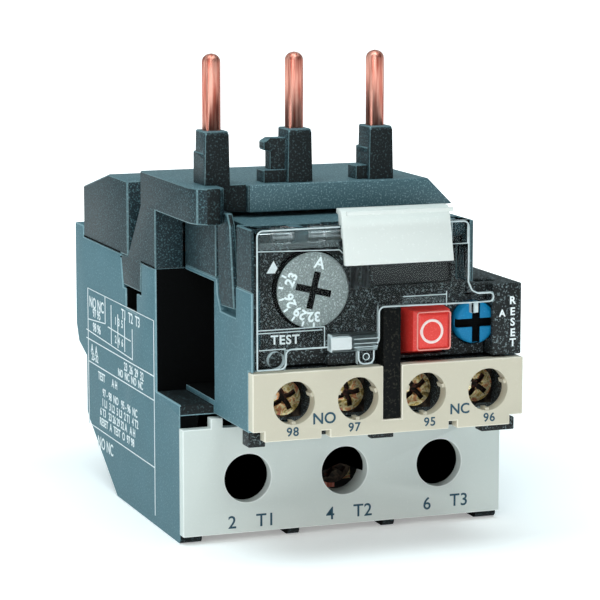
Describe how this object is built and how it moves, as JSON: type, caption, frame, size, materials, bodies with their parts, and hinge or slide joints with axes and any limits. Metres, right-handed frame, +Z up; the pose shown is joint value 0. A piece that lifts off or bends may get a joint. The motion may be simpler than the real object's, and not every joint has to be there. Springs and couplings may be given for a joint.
{
  "type": "thermal overload relay",
  "caption": "Three-pole thermal overload relay with plug-in copper pins, setting dial, stop and reset buttons, a hinged clear cover and screw terminals.",
  "frame": {"origin": "middle of the underside: half the width, half the depth, level with the feet of the barrier walls", "axes": "+X to the right seen from the operating face, +Y back from that face, +Z up towards the plug-in pins"},
  "size_m": [0.055, 0.0838, 0.0782],
  "materials": {
    "housing_plastic": "moulded flame-retardant polyamide, fine spark texture",
    "dark_plastic": "moulded black-grey polyamide, fine spark texture",
    "black_plastic": "moulded black polyamide",
    "ivory_plastic": "moulded ivory polycarbonate",
    "pale_plastic": "moulded pale grey polycarbonate",
    "clear_plastic": "clear polycarbonate",
    "white_plastic": "white writable label carrier",
    "dial_plastic": "grey acetal",
    "red_plastic": "red acetal",
    "blue_plastic": "blue acetal",
    "copper": "bare copper",
    "brass_plate": "bright brass",
    "zinc_steel": "steel, yellow zinc plated",
    "spring_steel": "spring steel",
    "bimetal_strip": "rolled bimetal",
    "heater_alloy": "copper-nickel heater strip"
  },
  "bodies": {
    "housing": {"lower_housing": "housing_plastic", "upper_cover": "dark_plastic", "rear_cover": "dark_plastic", "main_terminal_shroud": "pale_plastic", "control_housing": "housing_plastic", "control_frame": "dark_plastic", "control_fascia": "black_plastic", "reset_shroud": "black_plastic", "control_terminal_shroud": "ivory_plastic", "control_terminal_block": "black_plastic", "lever_pivot_pin": "spring_steel", "cover_hinge_pin": "spring_steel", "stop_spring": "spring_steel", "reset_spring": "spring_steel", "load_bar_1": "copper", "load_bar_2": "copper", "load_bar_3": "copper", "heater_1": "heater_alloy", "heater_2": "heater_alloy", "heater_3": "heater_alloy", "connection_pin_1": "copper", "connection_pin_2": "copper", "connection_pin_3": "copper", "contact_terminal_98": "brass_plate", "contact_terminal_97": "brass_plate", "contact_terminal_95": "brass_plate", "contact_terminal_96": "brass_plate"},
    "terminal_screw_1": {"terminal_screw_1": "zinc_steel"},
    "terminal_cage_1": {"terminal_cage_1": "zinc_steel"},
    "bimetal_1": {"bimetal_1": "bimetal_strip"},
    "terminal_screw_2": {"terminal_screw_2": "zinc_steel"},
    "terminal_cage_2": {"terminal_cage_2": "zinc_steel"},
    "bimetal_2": {"bimetal_2": "bimetal_strip"},
    "terminal_screw_3": {"terminal_screw_3": "zinc_steel"},
    "terminal_cage_3": {"terminal_cage_3": "zinc_steel"},
    "bimetal_3": {"bimetal_3": "bimetal_strip"},
    "push_bar": {"push_bar": "ivory_plastic"},
    "hold_bar": {"hold_bar": "ivory_plastic"},
    "trip_lever": {"trip_lever": "ivory_plastic"},
    "contact_carrier": {"contact_carrier": "ivory_plastic", "nc_bridge": "brass_plate", "no_bridge": "brass_plate"},
    "clamp_washer_98": {"clamp_washer_98": "zinc_steel"},
    "control_screw_98": {"control_screw_98": "zinc_steel"},
    "clamp_washer_97": {"clamp_washer_97": "zinc_steel"},
    "control_screw_97": {"control_screw_97": "zinc_steel"},
    "clamp_washer_95": {"clamp_washer_95": "zinc_steel"},
    "control_screw_95": {"control_screw_95": "zinc_steel"},
    "clamp_washer_96": {"clamp_washer_96": "zinc_steel"},
    "control_screw_96": {"control_screw_96": "zinc_steel"},
    "clear_cover": {"clear_cover": "clear_plastic", "marker_plate": "white_plastic"},
    "setting_dial": {"setting_dial": "dial_plastic", "setting_cam": "ivory_plastic"},
    "compensator_lever": {"compensator_lever": "bimetal_strip"},
    "stop_button": {"stop_button": "red_plastic"},
    "reset_plunger": {"reset_plunger": "black_plastic"},
    "reset_knob": {"reset_knob": "blue_plastic"},
    "test_button": {"test_button": "black_plastic"}
  },
  "joints": [
    {"name": "terminal_cage_1_slide", "type": "slide", "parent": "housing", "child": "terminal_cage_1", "axis": [0, -1, 0], "range_m": [0, 0.005]},
    {"name": "terminal_screw_1_turn", "type": "hinge", "parent": "housing", "child": "terminal_screw_1", "pos_m": [-0.0166, -0.01515, 0.0103], "axis": [0, 1, 0], "range_deg": [0, 2250]},
    {"name": "bimetal_1_bend", "type": "hinge", "parent": "housing", "child": "bimetal_1", "pos_m": [-0.0166, 0.01735, 0.0136], "axis": [0, 1, 0], "range_deg": [0, 5.21]},
    {"name": "terminal_cage_2_slide", "type": "slide", "parent": "housing", "child": "terminal_cage_2", "axis": [0, -1, 0], "range_m": [0, 0.005]},
    {"name": "terminal_screw_2_turn", "type": "hinge", "parent": "housing", "child": "terminal_screw_2", "pos_m": [0, -0.01515, 0.0103], "axis": [0, 1, 0], "range_deg": [0, 2250]},
    {"name": "bimetal_2_bend", "type": "hinge", "parent": "housing", "child": "bimetal_2", "pos_m": [0, 0.01735, 0.0136], "axis": [0, 1, 0], "range_deg": [0, 5.21]},
    {"name": "terminal_cage_3_slide", "type": "slide", "parent": "housing", "child": "terminal_cage_3", "axis": [0, -1, 0], "range_m": [0, 0.005]},
    {"name": "terminal_screw_3_turn", "type": "hinge", "parent": "housing", "child": "terminal_screw_3", "pos_m": [0.0166, -0.01515, 0.0103], "axis": [0, 1, 0], "range_deg": [0, 2250]},
    {"name": "bimetal_3_bend", "type": "hinge", "parent": "housing", "child": "bimetal_3", "pos_m": [0.0166, 0.01735, 0.0136], "axis": [0, 1, 0], "range_deg": [0, 5.21]},
    {"name": "push_bar_slide", "type": "slide", "parent": "housing", "child": "push_bar", "axis": [1, 0, 0], "range_m": [0, 0.0024], "stiffness_N_per_m": 60},
    {"name": "hold_bar_slide", "type": "slide", "parent": "housing", "child": "hold_bar", "axis": [1, 0, 0], "range_m": [0, 0.0024]},
    {"name": "trip_lever_swing", "type": "hinge", "parent": "housing", "child": "trip_lever", "pos_m": [0.011, -0.00015, 0.0394], "axis": [0, 0, -1], "range_deg": [0, 13.75]},
    {"name": "contact_carrier_slide", "type": "slide", "parent": "housing", "child": "contact_carrier", "axis": [0, 1, 0], "range_m": [0, 0.0015]},
    {"name": "clamp_washer_98_slide", "type": "slide", "parent": "housing", "child": "clamp_washer_98", "axis": [0, 1, 0], "range_m": [0, 0.0038]},
    {"name": "control_screw_98_turn", "type": "hinge", "parent": "clamp_washer_98", "child": "control_screw_98", "pos_m": [-0.0158, -0.03765, 0.026], "axis": [0, 1, 0], "range_deg": [0, 2280]},
    {"name": "clamp_washer_97_slide", "type": "slide", "parent": "housing", "child": "clamp_washer_97", "axis": [0, 1, 0], "range_m": [0, 0.0038]},
    {"name": "control_screw_97_turn", "type": "hinge", "parent": "clamp_washer_97", "child": "control_screw_97", "pos_m": [-0.0053, -0.03765, 0.026], "axis": [0, 1, 0], "range_deg": [0, 2280]},
    {"name": "clamp_washer_95_slide", "type": "slide", "parent": "housing", "child": "clamp_washer_95", "axis": [0, 1, 0], "range_m": [0, 0.0038]},
    {"name": "control_screw_95_turn", "type": "hinge", "parent": "clamp_washer_95", "child": "control_screw_95", "pos_m": [0.006, -0.03765, 0.026], "axis": [0, 1, 0], "range_deg": [0, 2280]},
    {"name": "clamp_washer_96_slide", "type": "slide", "parent": "housing", "child": "clamp_washer_96", "axis": [0, 1, 0], "range_m": [0, 0.0038]},
    {"name": "control_screw_96_turn", "type": "hinge", "parent": "clamp_washer_96", "child": "control_screw_96", "pos_m": [0.0165, -0.03765, 0.026], "axis": [0, 1, 0], "range_deg": [0, 2280]},
    {"name": "clear_cover_lift", "type": "hinge", "parent": "housing", "child": "clear_cover", "pos_m": [0, -0.03705, 0.0514], "axis": [-1, 0, 0], "range_deg": [0, 90]},
    {"name": "setting_dial_turn", "type": "hinge", "parent": "housing", "child": "setting_dial", "pos_m": [-0.012, -0.03775, 0.04295], "axis": [0, 1, 0], "range_deg": [0, 115]},
    {"name": "compensator_lever_swing", "type": "hinge", "parent": "housing", "child": "compensator_lever", "pos_m": [-0.0066, -0.03215, 0.0486], "axis": [0, -1, 0], "range_deg": [0, 12.17]},
    {"name": "stop_button_press", "type": "slide", "parent": "housing", "child": "stop_button", "axis": [0, 1, 0], "range_m": [0, 0.0018], "stiffness_N_per_m": 400, "deforming": ["stop_spring"]},
    {"name": "reset_press", "type": "slide", "parent": "housing", "child": "reset_plunger", "axis": [0, 1, 0], "range_m": [0, 0.0012], "stiffness_N_per_m": 400, "deforming": ["reset_spring"]},
    {"name": "reset_knob_turn", "type": "hinge", "parent": "reset_plunger", "child": "reset_knob", "pos_m": [0.0152, -0.03775, 0.0364], "axis": [0, 1, 0], "range_deg": [0, 90]},
    {"name": "test_button_press", "type": "slide", "parent": "housing", "child": "test_button", "axis": [0, 1, 0], "range_m": [0, 0.0012], "stiffness_N_per_m": 200}
  ],
  "couplings": [
    {"joint": "terminal_screw_1_turn", "follows": "terminal_cage_1_slide", "rad_per_m": 7854},
    {"joint": "bimetal_1_bend", "follows": "push_bar_slide", "rad_per_m": 37.879},
    {"joint": "terminal_screw_2_turn", "follows": "terminal_cage_2_slide", "rad_per_m": 7854},
    {"joint": "bimetal_2_bend", "follows": "push_bar_slide", "rad_per_m": 37.879},
    {"joint": "terminal_screw_3_turn", "follows": "terminal_cage_3_slide", "rad_per_m": 7854},
    {"joint": "bimetal_3_bend", "follows": "push_bar_slide", "rad_per_m": 37.879},
    {"joint": "hold_bar_slide", "follows": "push_bar_slide", "ratio": 1},
    {"joint": "trip_lever_swing", "follows": "push_bar_slide", "rad_per_m": 100},
    {"joint": "contact_carrier_slide", "follows": "push_bar_slide", "ratio": 0.625},
    {"joint": "control_screw_98_turn", "follows": "clamp_washer_98_slide", "rad_per_m": 10472},
    {"joint": "control_screw_97_turn", "follows": "clamp_washer_97_slide", "rad_per_m": 10472},
    {"joint": "control_screw_95_turn", "follows": "clamp_washer_95_slide", "rad_per_m": 10472},
    {"joint": "control_screw_96_turn", "follows": "clamp_washer_96_slide", "rad_per_m": 10472},
    {"joint": "compensator_lever_swing", "follows": "setting_dial_turn", "ratio": 0.10582}
  ]
}
